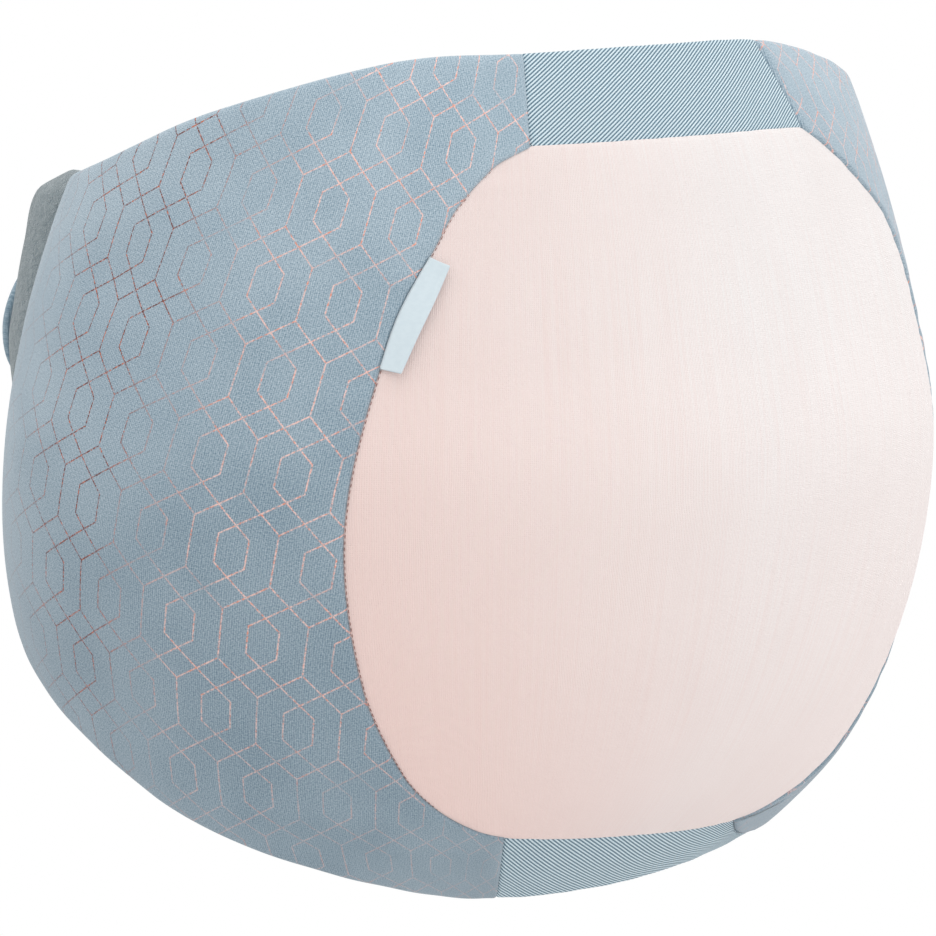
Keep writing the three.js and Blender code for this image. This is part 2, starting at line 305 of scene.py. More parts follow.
def outer_strap_offset(angle, share):
    """Offset of the outer strap's inner face: over the inner strap, then down to the left wing."""
    over_inner = strap_offset(np.minimum(angle, STRAP_END_ANGLE), share) + HOOK_THICKNESS + 2 * SEAM_GAP
    left_wing = 360 - WING_REAR_ANGLE
    descent = np.clip((left_wing - angle) / (left_wing - STRAP_END_ANGLE - 5), 0, 1)
    ease = descent * descent * (3 - 2 * descent)
    flush = -WING_EDGE_DROP - TAB_THICKNESS
    return flush + (over_inner - flush) * ease


def rolled(distance, radius):
    """Share of a cloth's fullness at a distance from its rounded edge: 0 at the edge, 1 past the radius."""
    near = np.clip(1 - distance / radius, 0, 1)
    return np.sqrt(1 - near**2)


def lines(count, length, edge):
    """Shares from 0 to 1, even but for closer lines within a rounded edge of that width at both ends."""
    close = np.array([0.0, 0.04, 0.15, 0.4, 0.8]) * edge / length
    inner = np.linspace(1.4 * edge / length, 1 - 1.4 * edge / length, count)
    return np.concatenate([close, inner, 1 - close[::-1]])


# Meshes


def grid_faces(columns, rows):
    """Corner numbers of a closed two-faced grid whose faces share their outline."""
    outer = np.arange(columns * rows).reshape(rows, columns)
    inner = outer + columns * rows
    for edge in (np.s_[0, :], np.s_[-1, :], np.s_[:, 0], np.s_[:, -1]):
        inner[edge] = outer[edge]
    near = [outer[:-1, :-1], outer[1:, :-1], outer[1:, 1:], outer[:-1, 1:]]
    far = [inner[:-1, :-1], inner[:-1, 1:], inner[1:, 1:], inner[1:, :-1]]
    return np.concatenate([np.stack(face, -1).reshape(-1, 4) for face in (near, far)])


def mesh_object(name, points, faces, uv=None, material=None, node=None):
    """One smooth mesh object that rides on the belt, without its unused points."""
    faces = [[int(corner) for corner in face] for face in faces]
    used = sorted({corner for face in faces for corner in face})
    number = {old: new for new, old in enumerate(used)}
    mesh = bpy.data.meshes.new(name)
    mesh.from_pydata([points[old] for old in used], [], [[number[c] for c in face] for face in faces])
    if uv is not None:
        corners = np.array([used[loop.vertex_index] for loop in mesh.loops])
        layer = mesh.uv_layers.new(name="Cloth")
        layer.data.foreach_set("uv", np.asarray(uv)[corners].astype(np.float32).ravel())
    mesh.polygons.foreach_set("use_smooth", [True] * len(mesh.polygons))
    mesh.materials.append(material)
    made = bpy.data.objects.new(name, mesh)
    bpy.context.collection.objects.link(made)
    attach(made, "root")
    if node:
        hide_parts(node)
    return made


def cloth(name, columns, rows, spot, material, node=None, flip=False):
    """A closed cloth piece over a grid. spot gives angle, share, both faces' offsets, and UV in metres."""
    u, v = np.meshgrid(columns, rows)
    angle, share, outer, inner, uv = spot(u, v)
    points = np.concatenate([place(angle, share, offset).reshape(-1, 3) for offset in (outer, inner)])
    faces = grid_faces(len(columns), len(rows))
    if flip:
        faces = faces[:, ::-1]
    uv = np.concatenate([uv.reshape(-1, 2)] * 2)
    return mesh_object(name, points, faces, uv, material, node or name)


def cloth_uv(angle, share):
    """Cloth coordinates in metres: along the hips, and along the body from its mid height."""
    mean_radius = 150 * MM
    furthest, beyond = 240, 0.02
    angles = np.linspace(-furthest, furthest, 241)
    heights = np.linspace(-beyond, 1 + beyond, 60)
    grid = body(angles[:, None], heights[None, :])
    climbed = np.concatenate([np.zeros((len(angles), 1)), np.cumsum(spacing(grid, 1), axis=1)], axis=1)
    waist = [np.interp(0.0, row_z, row_length) for row_z, row_length in zip(grid[..., 2], climbed)]
    climbed = climbed - np.array(waist)[:, None]
    place_in_angles = (angle + furthest) / (2 * furthest) * (len(angles) - 1)
    place_in_angles = np.clip(place_in_angles, 0, len(angles) - 1.001)
    place_in_heights = (share + beyond) / (1 + 2 * beyond) * (len(heights) - 1)
    place_in_heights = np.clip(place_in_heights, 0, len(heights) - 1.001)
    column, row = place_in_angles.astype(int), place_in_heights.astype(int)
    a, h = place_in_angles - column, place_in_heights - row
    low = climbed[column, row] * (1 - h) + climbed[column, row + 1] * h
    high = climbed[column + 1, row] * (1 - h) + climbed[column + 1, row + 1] * h
    return np.stack([-np.radians(angle) * mean_radius, low * (1 - a) + high * a], -1)


def ripples(distance_along, distance_in, length, reach, depth, seed):
    """Small puckers along a sewn edge, which fade away from it."""
    random = np.random.default_rng(seed)
    wave = np.zeros(np.broadcast(distance_along, distance_in).shape)
    for _ in range(5):
        pitch = length * random.uniform(0.7, 1.6)
        wave += np.sin(2 * math.pi * distance_along / pitch + random.uniform(0, 2 * math.pi))
    return depth * wave / 2.5 * np.exp(-np.maximum(distance_in, 0) / reach)


# Materials


def linear(hex_colour):
    """A hex sRGB colour as linear red, green, blue and alpha."""
    shares = [int(hex_colour[i : i + 2], 16) / 255 for i in (1, 3, 5)]
    return [s / 12.92 if s <= 0.04045 else ((s + 0.055) / 1.055) ** 2.4 for s in shares] + [1.0]


def add(tree, kind, inputs, **settings):
    """Adds one shader node with its settings; each input is a number, a node or a socket."""
    node = tree.nodes.new("ShaderNode" + kind)
    for name, value in settings.items():
        setattr(node, name, value)
    named = inputs.items() if isinstance(inputs, dict) else enumerate(inputs)
    for socket, value in named:
        if isinstance(value, bpy.types.Node):
            value = next(output for output in value.outputs if output.enabled)
        if isinstance(value, bpy.types.NodeSocket):
            tree.links.new(value, node.inputs[socket])
        else:
            node.inputs[socket].default_value = value
    return node


def start_material(name):
    """A new material without nodes, and its tree."""
    material = bpy.data.materials.new(name)
    material.use_nodes = True
    material.node_tree.nodes.clear()
    return material, material.node_tree


def surface(tree, colour, normal, roughness, specular=0.5, sheen=0.0, metallic=0.0):
    """A principled surface with a cloth's values on its own sockets."""
    values = {
        "Base Color": colour,
        "Normal": normal,
        "Roughness": roughness,
        "Specular IOR Level": specular,
        "Sheen Weight": sheen,
        "Sheen Roughness": 0.5,
        "Metallic": metallic,
    }
    return add(tree, "BsdfPrincipled", values)


def turned_cloth(tree, degrees, start=(0.0, 0.0)):
    """The cloth's own coordinates in metres, from a start and turned: (whole, across, up)."""
    cloth_map = add(tree, "UVMap", {}, uv_map="Cloth")
    moved = add(tree, "VectorMath", [cloth_map, (-start[0], -start[1], 0)], operation="ADD")
    turn = {"Vector": moved, "Angle": math.radians(degrees)}
    turned = add(tree, "VectorRotate", turn, rotation_type="Z_AXIS")
    parts = add(tree, "SeparateXYZ", [turned])
    return turned, parts.outputs[0], parts.outputs[1]


def round_wave(tree, distance, pitch):
    """A smooth wave from 0 to 1 that repeats at a pitch in metres."""
    angle = add(tree, "Math", [distance, 2 * math.pi / pitch], operation="MULTIPLY")
    sine = add(tree, "Math", [angle], operation="SINE")
    return add(tree, "Math", [sine, 0.5, 0.5], operation="MULTIPLY_ADD")


def patches(tree, vector, size, low, high, detail=2.0):
    """Soft patches of about that size in metres: 0 outside them, 1 inside."""
    soft = add(tree, "TexNoise", {"Vector": vector, "Scale": 1 / size, "Detail": detail, "Roughness": 0.6})
    ends = {"Value": soft, "From Min": low, "From Max": high}
    return add(tree, "MapRange", ends, interpolation_type="SMOOTHSTEP")


# Knit jersey: courses of loops 0.6 mm apart, drawn 0.7 mm apart so that they show, and yarn of mixed shades
COURSE_PITCH = 0.72 * MM
YARN_PATCH = 0.6 * MM


def knit(tree, light, dark, turn, contrast):
    """Colour and height of knit jersey, whose courses run at that turn."""
    vector, across, up = turned_cloth(tree, turn)
    drift = add(tree, "TexNoise", {"Vector": vector, "Scale": 55.0, "Detail": 1.0})
    bowed = add(tree, "Math", [drift, 2.2 * COURSE_PITCH, up], operation="MULTIPLY_ADD")
    courses = round_wave(tree, bowed, COURSE_PITCH)
    loops = round_wave(tree, across, COURSE_PITCH * 0.9)
    yarn = patches(tree, vector, YARN_PATCH, 0.3, 0.7, 3.0)
    rows = add(tree, "Math", [loops, 0.5, courses], operation="MULTIPLY_ADD")
    mixed = add(tree, "Math", [rows, 0.5, yarn], operation="MULTIPLY_ADD")
    shade = add(tree, "Math", [mixed, contrast], operation="MULTIPLY", use_clamp=True)
    clouds = patches(tree, vector, 45 * MM, 0.35, 0.7)
    shade = add(tree, "Math", [clouds, 0.12, shade], operation="MULTIPLY_ADD")
    colour = add(tree, "Mix", {0: shade, 6: linear(light), 7: linear(dark)}, data_type="RGBA")
    ridges = add(tree, "Math", [loops, 0.4, courses], operation="MULTIPLY_ADD")
    height = add(tree, "Math", [yarn, 0.7, ridges], operation="MULTIPLY_ADD")
    return colour, add(tree, "Bump", {"Height": height, "Distance": 0.1 * MM, "Strength": 0.7})


# The foil print: a honeycomb of long hexagons, each round a smaller one whose slanted sides run on
PRINT_STEP = 6.74 * MM
PRINT_RISE = 5.5 * MM
PRINT_SIDE = 17.7 * MM
PRINT_RING = 0.72
PRINT_LINE = 0.58 * MM
PRINT_TURN = 12.0
PRINT_START = (-177.5 * MM, 88.0 * MM)

# Where along the hips the foil's painted reflection turns from pale to dark, and where the print fades
# toward the rear
FOIL_REFLECTION_TURNS = (206 * MM, 252 * MM)
FOIL_FADES = (252 * MM, 285 * MM)


def print_lines():
    """The print's lines in a quarter of its repeat, from the middle of a ring, in metres."""
    half, side, rise, ring = PRINT_STEP, PRINT_SIDE / 2, PRINT_RISE, PRINT_RING

    def spot(steps, sides, rises):
        return Vector((steps * half, sides * side + rises * rise, 0))

    return [
        (spot(ring, 0, 0), spot(ring, 1, -ring)),
        (spot(ring, 1, -ring), spot(0, 1, 0)),
        (spot(0, 1, 0), spot(2, 1, 2)),
        (spot(2, 1, 0), spot(0, 1, 2)),
        (spot(2, 0, 0), spot(2, 1, 0)),
        (spot(0, 1, 2), spot(0, 2, 2)),
        (spot(2 - ring, 1, 2 + ring), spot(2 - ring, 2, 2)),
        (spot(2, 1, 2), spot(2 - ring, 1, 2 + ring)),
    ]


def print_distance(tree):
    """Distance in metres from the shaded point to the print's nearest line."""
    _, across, up = turned_cloth(tree, PRINT_TURN, PRINT_START)
    up = add(tree, "Math", [up, PRINT_SIDE / 2], operation="ADD")
    across = add(tree, "Math", [across, 2 * PRINT_STEP], operation="PINGPONG")
    up = add(tree, "Math", [up, PRINT_SIDE + 2 * PRINT_RISE], operation="PINGPONG")
    point = add(tree, "CombineXYZ", [across, up])
    nearest = 1.0
    for start, end in print_lines():
        run = end - start
        offset = add(tree, "VectorMath", [point, start], operation="SUBTRACT")
        dot = add(tree, "VectorMath", [offset, run / run.length_squared], operation="DOT_PRODUCT")
        share = add(tree, "Clamp", [dot])
        foot = add(tree, "VectorMath", {0: run, "Scale": share}, operation="SCALE")
        distance = add(tree, "VectorMath", [offset, foot], operation="DISTANCE")
        nearest = add(tree, "Math", [distance, nearest], operation="MINIMUM")
    return nearest


def wing_jersey():
    """Heather knit jersey with copper foil, broken up by the loops: the foil is painted pale in front and
    dark at the hip as a painted reflection, and the knit has painted shade by height.
    """
    material, tree = start_material("Grey-blue knit jersey with foil print")
    colour, normal = knit(tree, "#C0CFD8", "#5F7C8E", 100, 0.52)
    vector, across, up = turned_cloth(tree, 0)
    # Painted light and shade: the knit is painted lighter and greyer toward the top and darker toward the
    # bottom
    stretch = add(tree, "MapRange", {"Value": up, "From Min": -45 * MM, "From Max": 135 * MM})
    height_shade_ends = {0: stretch, 4: (0.77, 0.795, 0.815), 5: (1.10, 1.085, 1.08)}
    painted_shade_factor = add(tree, "Mix", height_shade_ends, data_type="VECTOR")
    colour = add(tree, "VectorMath", [colour, painted_shade_factor], operation="MULTIPLY")
    fabric = surface(tree, colour, normal, 0.9, 0.25, 0.35)
    wobble = add(tree, "TexNoise", {"Vector": vector, "Scale": 500.0, "Detail": 1.0})
    distance = add(tree, "Math", [wobble, 0.25 * MM, print_distance(tree)], operation="MULTIPLY_ADD")
    sharp, gone = PRINT_LINE * 0.42, PRINT_LINE * 0.85
    edge = {"Value": distance, "From Min": sharp, "From Max": gone, "To Min": 1.0, "To Max": 0.0}
    line = add(tree, "MapRange", edge, interpolation_type="SMOOTHSTEP")
    beads = patches(tree, vector, 0.8 * MM, 0.4, 0.52)
    broken = add(tree, "Math", [beads, 0.82, 0.18], operation="MULTIPLY_ADD")
    worn = patches(tree, vector, 26 * MM, 0.3, 0.52)
    worn = add(tree, "Math", [worn, 0.65, 0.35], operation="MULTIPLY_ADD")
    low = add(tree, "MapRange", {"Value": up, "From Min": -110 * MM, "From Max": -40 * MM, "To Min": 0.4})
    around = add(tree, "Math", [across], operation="ABSOLUTE")
    fading, faded = FOIL_FADES
    rear = {"Value": around, "From Min": fading, "From Max": faded, "To Min": 1.0, "To Max": 0.25}
    blurred = add(tree, "TexNoise", {"Vector": vector, "Scale": 25.0, "Detail": 1.0})
    beyond = add(tree, "Math", [blurred, 30 * MM, around], operation="MULTIPLY_ADD")
    beyond = add(tree, "Math", [up, 0.2, beyond], operation="MULTIPLY_ADD")
    # Painted reflection: the foil is painted from pale in front to dark at the hip, by place along the hips
    hip = {"Value": beyond, "From Min": FOIL_REFLECTION_TURNS[0], "From Max": FOIL_REFLECTION_TURNS[1]}
    dark = add(tree, "MapRange", hip, interpolation_type="SMOOTHSTEP")
    # Between the pale and the dark painted reflection, where neither catches the light, the lines are
    # painted faint
    pale = add(tree, "Math", [1.0, dark], operation="SUBTRACT")
    reflection_overlap = add(tree, "Math", [dark, pale], operation="MULTIPLY")
    faint = add(tree, "Math", [reflection_overlap, -2.0, 1.0], operation="MULTIPLY_ADD")
    # The lines are made stronger where the foil is painted dark, as part of the painted reflection; the rest
    # is wear of the print
    worn = add(tree, "Math", [dark, 0.4, worn], operation="MULTIPLY_ADD", use_clamp=True)
    for share in (broken, worn, low, faint, add(tree, "MapRange", rear)):
        line = add(tree, "Math", [line, share], operation="MULTIPLY")
    # The foil's colour is the pale and dark painted reflection
    foil = add(tree, "Mix", {0: dark, 6: linear("#EFC7BE"), 7: linear("#6A2A1E")}, data_type="RGBA")
    # Painted highlights: orange specks painted on the foil's lines
    painted_glints = add(tree, "Math", [patches(tree, vector, 1.4 * MM, 0.48, 0.6), 0.7], operation="MULTIPLY")
    foil = add(tree, "Mix", {0: painted_glints, 6: foil, 7: linear("#DB7346")}, data_type="RGBA")
    metal = surface(tree, foil, normal, 0.5, metallic=0.2)
    both = add(tree, "MixShader", [line, fabric, metal])
    add(tree, "OutputMaterial", [both])
    return material


def lining_jersey():
    """The wings' inner side: the same heather knit, plain, without foil."""
    material, tree = start_material("Grey-blue lining jersey")
    colour, normal = knit(tree, "#B3C2CB", "#6A8696", 100, 0.4)
    add(tree, "OutputMaterial", [surface(tree, colour, normal, 0.95, 0.2, 0.3)])
    return material


def panel_jersey():
    """Fine stretch jersey: faint upright wales, soft and matt, painted rosier toward its lower and side
    seams as painted shade and lighter toward the bottom as painted light.
    """
    material, tree = start_material("Blush stretch jersey")
    colour, normal = knit(tree, "#F1EFEE", "#E4DCDA", 90, 0.45)
    vector, across, up = turned_cloth(tree, 0)
    # Wales are 0.9 mm apart and run tens of millimetres before they fade
    long_wales = add(tree, "Mapping", {"Vector": vector, "Scale": (1100.0, 10.0, 1.0)})
    wales = patches(tree, long_wales, 1.0, 0.35, 0.7)
    faint = add(tree, "Math", [wales, 0.14], operation="MULTIPLY")
    colour = add(tree, "Mix", {0: faint, 6: colour, 7: linear("#E2BCB4")}, data_type="RGBA")
    # Painted shade: the panel is painted rosier and darker toward the wearer's right seam and toward the
    # bottom
    beside = {"Value": across, "From Min": 10 * MM, "From Max": -150 * MM, "To Max": 0.6}
    below = {"Value": up, "From Min": 70 * MM, "From Max": -140 * MM, "To Max": 0.38}
    both = [add(tree, "MapRange", ends) for ends in (beside, below)]
    rosy = add(tree, "Math", both, operation="ADD", use_clamp=True)
    colour = add(tree, "Mix", {0: rosy, 6: colour, 7: linear("#EACAC2")}, data_type="RGBA")
    # Painted light: the colour is made a little lighter toward the bottom and darker toward the top
    stretch = {"Value": up, "From Min": -120 * MM, "From Max": 110 * MM, "To Min": 1.06, "To Max": 0.95}
    colour = add(tree, "VectorMath", {0: colour, "Scale": add(tree, "MapRange", stretch)}, operation="SCALE")
    add(tree, "OutputMaterial", [surface(tree, colour, normal, 0.85, 0.25, 0.15)])
    return material


# Twill elastic: ribs with a dark line of 1 mm dashes between them. On the lower band, which is stretched
# across its ribs, they are wider apart and steeper.
Twill = namedtuple("Twill", "lean pitch")
TOP_TWILL = Twill(34, 1.0 * MM)
LOW_TWILL = Twill(-52, 1.6 * MM)
TWILL_DASH = 1.05 * MM


def twill_elastic(name, twill):
    """Ribbed elastic: glossy light ribs that stand proud of dark, broken grooves."""
    material, tree = start_material(name)
    vector, along, across = turned_cloth(tree, -twill.lean)
    drift = add(tree, "TexNoise", {"Vector": vector, "Scale": 45.0, "Detail": 1.0})
    bowed = add(tree, "Math", [drift, 0.6 * MM, across], operation="MULTIPLY_ADD")
    rib = round_wave(tree, bowed, twill.pitch)
    groove_ends = {"Value": rib, "From Min": 0.15, "From Max": 0.8, "To Min": 1.0, "To Max": 0.0}
    groove = add(tree, "MapRange", groove_ends, interpolation_type="SMOOTHSTEP")
    dashes = add(tree, "Math", [round_wave(tree, along, TWILL_DASH), 0.15, 0.85], operation="MULTIPLY_ADD")
    dark = add(tree, "Math", [groove, dashes], operation="MULTIPLY", use_clamp=True)
    yarn = patches(tree, vector, 0.6 * MM, 0.3, 0.75)
    light = add(tree, "Mix", {0: yarn, 6: linear("#C2D9E3"), 7: linear("#E4F0F5")}, data_type="RGBA")
    colour = add(tree, "Mix", {0: dark, 6: light, 7: linear("#416579")}, data_type="RGBA")
    height = add(tree, "Math", [yarn, 0.25, rib], operation="MULTIPLY_ADD")
    normal = add(tree, "Bump", {"Height": height, "Distance": 0.35 * MM, "Strength": 0.7})
    add(tree, "OutputMaterial", [surface(tree, colour, normal, 0.7, 0.35, 0.1)])
    return material


def brushed_loop():
    """Brushed loop cloth: a soft dull nap, in clumps of 2 mm with fibres between them, and painted shade
    beside the wing.
    """
    material, tree = start_material("Brushed grey loop cloth")
    place_on_cloth = add(tree, "TexCoord", {}).outputs["Object"]
    clumps = patches(tree, place_on_cloth, 2.2 * MM, 0.3, 0.7, 4.0)
    fibres = patches(tree, place_on_cloth, 0.5 * MM, 0.3, 0.7, 3.0)
    nap = add(tree, "Math", [fibres, 0.6, clumps], operation="MULTIPLY_ADD")
    shade = add(tree, "Math", [nap, 0.6], operation="MULTIPLY", use_clamp=True)
    colour = add(tree, "Mix", {0: shade, 6: linear("#9FB3BB"), 7: linear("#CFDEE3")}, data_type="RGBA")
    # Painted shade: the cloth is painted darker in the fold where the strap leaves the wing, and a little
    # lighter beyond it
    _, across, _ = turned_cloth(tree, 0)
    fold = {"Value": across, "From Min": -339 * MM, "From Max": -352 * MM, "To Min": 0.5, "To Max": 1.12}
    colour = add(tree, "VectorMath", {0: colour, "Scale": add(tree, "MapRange", fold)}, operation="SCALE")
    normal = add(tree, "Bump", {"Height": nap, "Distance": 0.6 * MM, "Strength": 0.8})
    add(tree, "OutputMaterial", [surface(tree, colour, normal, 1.0, 0.1, 0.5)])
    return material


def tab_jersey():
    """The smooth jersey of the outer strap, as the wings' but without foil and a little darker."""
    material, tree = start_material("Smooth grey-blue jersey")
    colour, normal = knit(tree, "#A6B8C3", "#6C8494", 90, 0.55)
    add(tree, "OutputMaterial", [surface(tree, colour, normal, 0.9, 0.25, 0.25)])
    return material


HOOK_PITCH = 1.2 * MM


def hook_tape():
    """Hook tape: rows of tiny stiff hooks 1.2 mm apart on a woven base."""
    material, tree = start_material("Hook tape")
    _, across, up = turned_cloth(tree, 0)
    rows = [round_wave(tree, distance, HOOK_PITCH) for distance in (across, up)]
    hooks = add(tree, "Math", rows, operation="MULTIPLY")
    colour = add(tree, "Mix", {0: hooks, 6: linear("#8C989E"), 7: linear("#C9D2D6")}, data_type="RGBA")
    normal = add(tree, "Bump", {"Height": hooks, "Distance": 0.5 * MM, "Strength": 0.8})
    add(tree, "OutputMaterial", [surface(tree, colour, normal, 0.6)])
    return material


def satin_ribbon():
    """Polyester satin ribbon: fine threads along it, a soft gloss and an even pale colour."""
    material, tree = start_material("Pale satin ribbon")
    vector, across, _ = turned_cloth(tree, 0)
    threads = round_wave(tree, across, 0.3 * MM)
    faint = add(tree, "Math", [patches(tree, vector, 2 * MM, 0.3, 0.7), 0.3], operation="MULTIPLY")
    colour = add(tree, "Mix", {0: faint, 6: linear("#CEDBE1"), 7: linear("#BFCED6")}, data_type="RGBA")
    normal = add(tree, "Bump", {"Height": threads, "Distance": 0.04 * MM, "Strength": 0.5})
    add(tree, "OutputMaterial", [surface(tree, colour, normal, 0.42, 0.5, 0.2)])
    return material


def thread(name, light, dark):
    """Spun polyester thread: matt, with a twist in it."""
    material, tree = start_material(name)
    place_on_thread = add(tree, "TexCoord", {}).outputs["Object"]
    twist = patches(tree, place_on_thread, 0.4 * MM, 0.35, 0.65)
    colour = add(tree, "Mix", {0: twist, 6: linear(light), 7: linear(dark)}, data_type="RGBA")
    normal = add(tree, "Bump", {"Height": twist, "Distance": 0.1 * MM, "Strength": 0.6})
    add(tree, "OutputMaterial", [surface(tree, colour, normal, 0.8, 0.3, 0.1)])
    return material


# Pieces


def belly_panel(material):
    """The stretch jersey over the belly, with soft pulls along its seams."""
    columns = lines(130, PANEL_WIDTH, 1.5 * MM)
    rows = lines(120, PANEL_HEIGHT, 1.5 * MM)

    def spot(u, v):
        rise = seam_rise(v)
        left_angle, left_share = shifted_front_edge(rise, -1, -SEAM_TUCK)
        right_angle, right_share = shifted_front_edge(rise, 1, SEAM_TUCK)
        angle = left_angle + (right_angle - left_angle) * u
        share = left_share + (right_share - left_share) * u
        angle, share = stepped(angle, share, 0, SEAM_TUCK * (2 * v - 1))
        uv = cloth_uv(angle, share)
        width = spacing(body(angle, share), 1).sum(axis=1, keepdims=True)
        edge = np.minimum(u, 1 - u) * width
        hem = np.minimum(v, 1 - v) * PANEL_HEIGHT
        full = rolled(edge, 2.2 * MM) * rolled(hem, 1.8 * MM)
        pulls = ripples(uv[..., 1], edge, 9 * MM, 7 * MM, 0.16 * MM, 3) * rolled(edge, 6 * MM)
        pulls = pulls + ripples(uv[..., 0], hem, 11 * MM, 6 * MM, 0.14 * MM, 4) * rolled(hem, 6 * MM)
        dip = PANEL_DROP * (1 - 0.5 * rolled(np.minimum(edge, hem), 9 * MM))
        middle = pulls - dip - PANEL_THICKNESS / 2 - (1 - full) * 0.4 * MM
        outer = middle + full * PANEL_THICKNESS / 2
        inner = middle - full * PANEL_THICKNESS / 2
        return angle, share, outer, inner, uv

    made = cloth("belly_panel", columns, rows, spot, material)
    return made


def elastic_band(name, material, low_share, high_share, low_rise, high_rise, length):
    """A ribbed elastic band between the two wings."""
    columns = lines(90, length, 1.5 * MM)
    rows = lines(22, BAND_HEIGHT, 1.5 * MM)

    def spot(u, v):
        rise = low_rise + (high_rise - low_rise) * v
        left_angle, _ = shifted_front_edge(rise, -1, -SEAM_TUCK)
        right_angle, _ = shifted_front_edge(rise, 1, SEAM_TUCK)
        angle = left_angle + (right_angle - left_angle) * u
        share = low_share(u) + (high_share(u) - low_share(u)) * v
        end = np.minimum(u, 1 - u) * length
        hem = np.minimum(v, 1 - v) * BAND_HEIGHT
        full = rolled(end, 1.6 * MM) * rolled(hem, 1.3 * MM)
        middle = -ELASTIC_DROP - ELASTIC_THICKNESS / 2
        half = full * ELASTIC_THICKNESS / 2
        points = body(angle, share)
        across = np.concatenate([0 * u[:, :1], np.cumsum(spacing(points, 1), axis=1)], axis=1)
        up = np.concatenate([0 * v[:1], np.cumsum(spacing(points, 0), axis=0)])
        uv = np.stack([across[:, -1:] / 2 - across, up], -1)
        pull = ripples(uv[..., 0], hem, 13 * MM, 9 * MM, 0.1 * MM, 5)
        return angle, share, middle + half + pull, middle - half + pull, uv

    made = cloth(name, columns, rows, spot, material)
    return made


def elastics():
    """The bands above and below the belly."""
    _, left_share = seam_spot(np.array(0.0), -1)
    _, right_share = seam_spot(np.array(0.0), 1)

    def panel_end(u):
        return left_share + (right_share - left_share) * u

    rising = twill_elastic("Rising twill elastic", TOP_TWILL)
    falling = twill_elastic("Falling twill elastic", LOW_TWILL)
    shares = (lambda u: TOP_ELASTIC_SHARE + 0 * u, lambda u: 1 + 0 * u)
    elastic_band("top_elastic", rising, *shares, SEAM_FINISH, 1.0, 0.115)
    elastic_band("bottom_elastic", falling, lambda u: 0 * u, panel_end, 0.0, SEAM_START, 0.125)


def fullness(share):
    """Fullness of a cushion across one direction: nothing at both edges, whole in the middle."""
    return np.sqrt(np.clip(1 - (2 * share - 1) ** 4, 0, 1))


def dented(angle, share):
    """Depth of the wings' soft dents."""
    depth = np.zeros(np.shape(angle))
    for dent in DENTS:
        off = ((np.abs(angle) - dent.angle) / dent.wide) ** 2 + ((share - dent.share) / dent.tall) ** 2
        depth += dent.depth * MM * np.exp(-off)
    return depth


def side_wing(name, side, material, lining):
    """A padded wing, rolled at its edges and puckered along its seam."""
    columns = lines(120, WING_LENGTH, WING_EDGE)
    edge_lines = np.array([0.0, 0.04, 0.15, 0.4, 0.8, 1.6, 2.6]) * WING_EDGE / WING_HEIGHT
    seam_lines = seam_rise(lines(130, WING_HEIGHT, WING_EDGE)[5:-5])
    inset = 0.052
    below = np.linspace(inset, SEAM_START, 4)
    above = np.linspace(SEAM_FINISH, 1 - inset, 5)
    rows = np.concatenate([edge_lines, below, seam_lines, above, 1 - edge_lines[::-1]])

    def spot(u, v):
        front_angle, front_share = shifted_front_edge(v, side, side * SEAM_GAP / 2)
        angle = front_angle + (side * WING_REAR_ANGLE - front_angle) * u
        share = front_share + (v - front_share) * u * u
        points = body(angle, share)
        along = np.concatenate([0 * u[:, :1], np.cumsum(spacing(points, 1), axis=1)], axis=1)
        up = np.concatenate([0 * v[:1], np.cumsum(spacing(points, 0), axis=0)])
        front, rear = along, along[:, -1:] - along
        rim = np.minimum(up, up[-1:] - up)
        uv = cloth_uv(angle, share)
        full = rolled(front, 2.2 * MM) * rolled(rear, 3 * MM) * rolled(rim, 3.5 * MM)
        edge = -WING_EDGE_DROP - WING_EDGE_THICKNESS / 3
        seam_line = ripples(uv[..., 1], front, 10 * MM, 9 * MM, 0.22 * MM, 7) * rolled(front, 8 * MM)
        rim_line = ripples(uv[..., 0], rim, 26 * MM, 14 * MM, 0.25 * MM, 8) * rolled(rim, 10 * MM)
        soft = seam_line + rim_line - dented(angle, share) * rolled(rim, 20 * MM)
        padding = (WING_PAD_THICKNESS - WING_EDGE_THICKNESS) * fullness(u) * fullness(v)
        outer = edge - edge * full + soft
        inner = edge - (WING_EDGE_THICKNESS / 2) * full - padding
        return angle, share, outer, inner, uv

    made = cloth(name, columns, rows, spot, material, flip=side < 0)
    made.data.materials.append(lining)
    faces = len(made.data.polygons)
    made.data.polygons.foreach_set("material_index", np.repeat([0, 1], faces // 2))
    return made


def inner_strap(material):
    """The inner back strap of brushed loop cloth."""
    columns = lines(110, INNER_STRAP_LENGTH, 2.5 * MM)
    rows = lines(80, STRAP_HEIGHT, 3.5 * MM)

    def spot(u, v):
        start, _ = stepped(WING_REAR_ANGLE, 0.5, -STRAP_TUCK, 0)
        angle = start + (STRAP_END_ANGLE - start) * u
        end = np.minimum(u, 1 - u) * INNER_STRAP_LENGTH
        hem = np.minimum(v, 1 - v) * STRAP_HEIGHT
        full = rolled(end, 2.5 * MM) * rolled(hem, 3.5 * MM)
        middle = strap_offset(np.maximum(angle, WING_REAR_ANGLE), v) - STRAP_THICKNESS / 2
        half = full * STRAP_THICKNESS / 2
        uv = cloth_uv(angle, v)
        slack = ripples(uv[..., 0], hem, 30 * MM, 30 * MM, 0.35 * MM, 11)
        return angle, v, middle + half + slack, middle - half + slack, uv

    made = cloth("back_strap_right", columns, rows, spot, material)
    return made


def tab_end(share):
    """Angle of the outer strap's end, which narrows to a rounded tab."""
    away = np.abs(share - TAB_MIDDLE) / TAB_HALF_SHARE
    return TAB_END_ANGLE + TAB_TAPER * (1 - np.exp(-0.5 * away**TAB_ROUNDNESS))


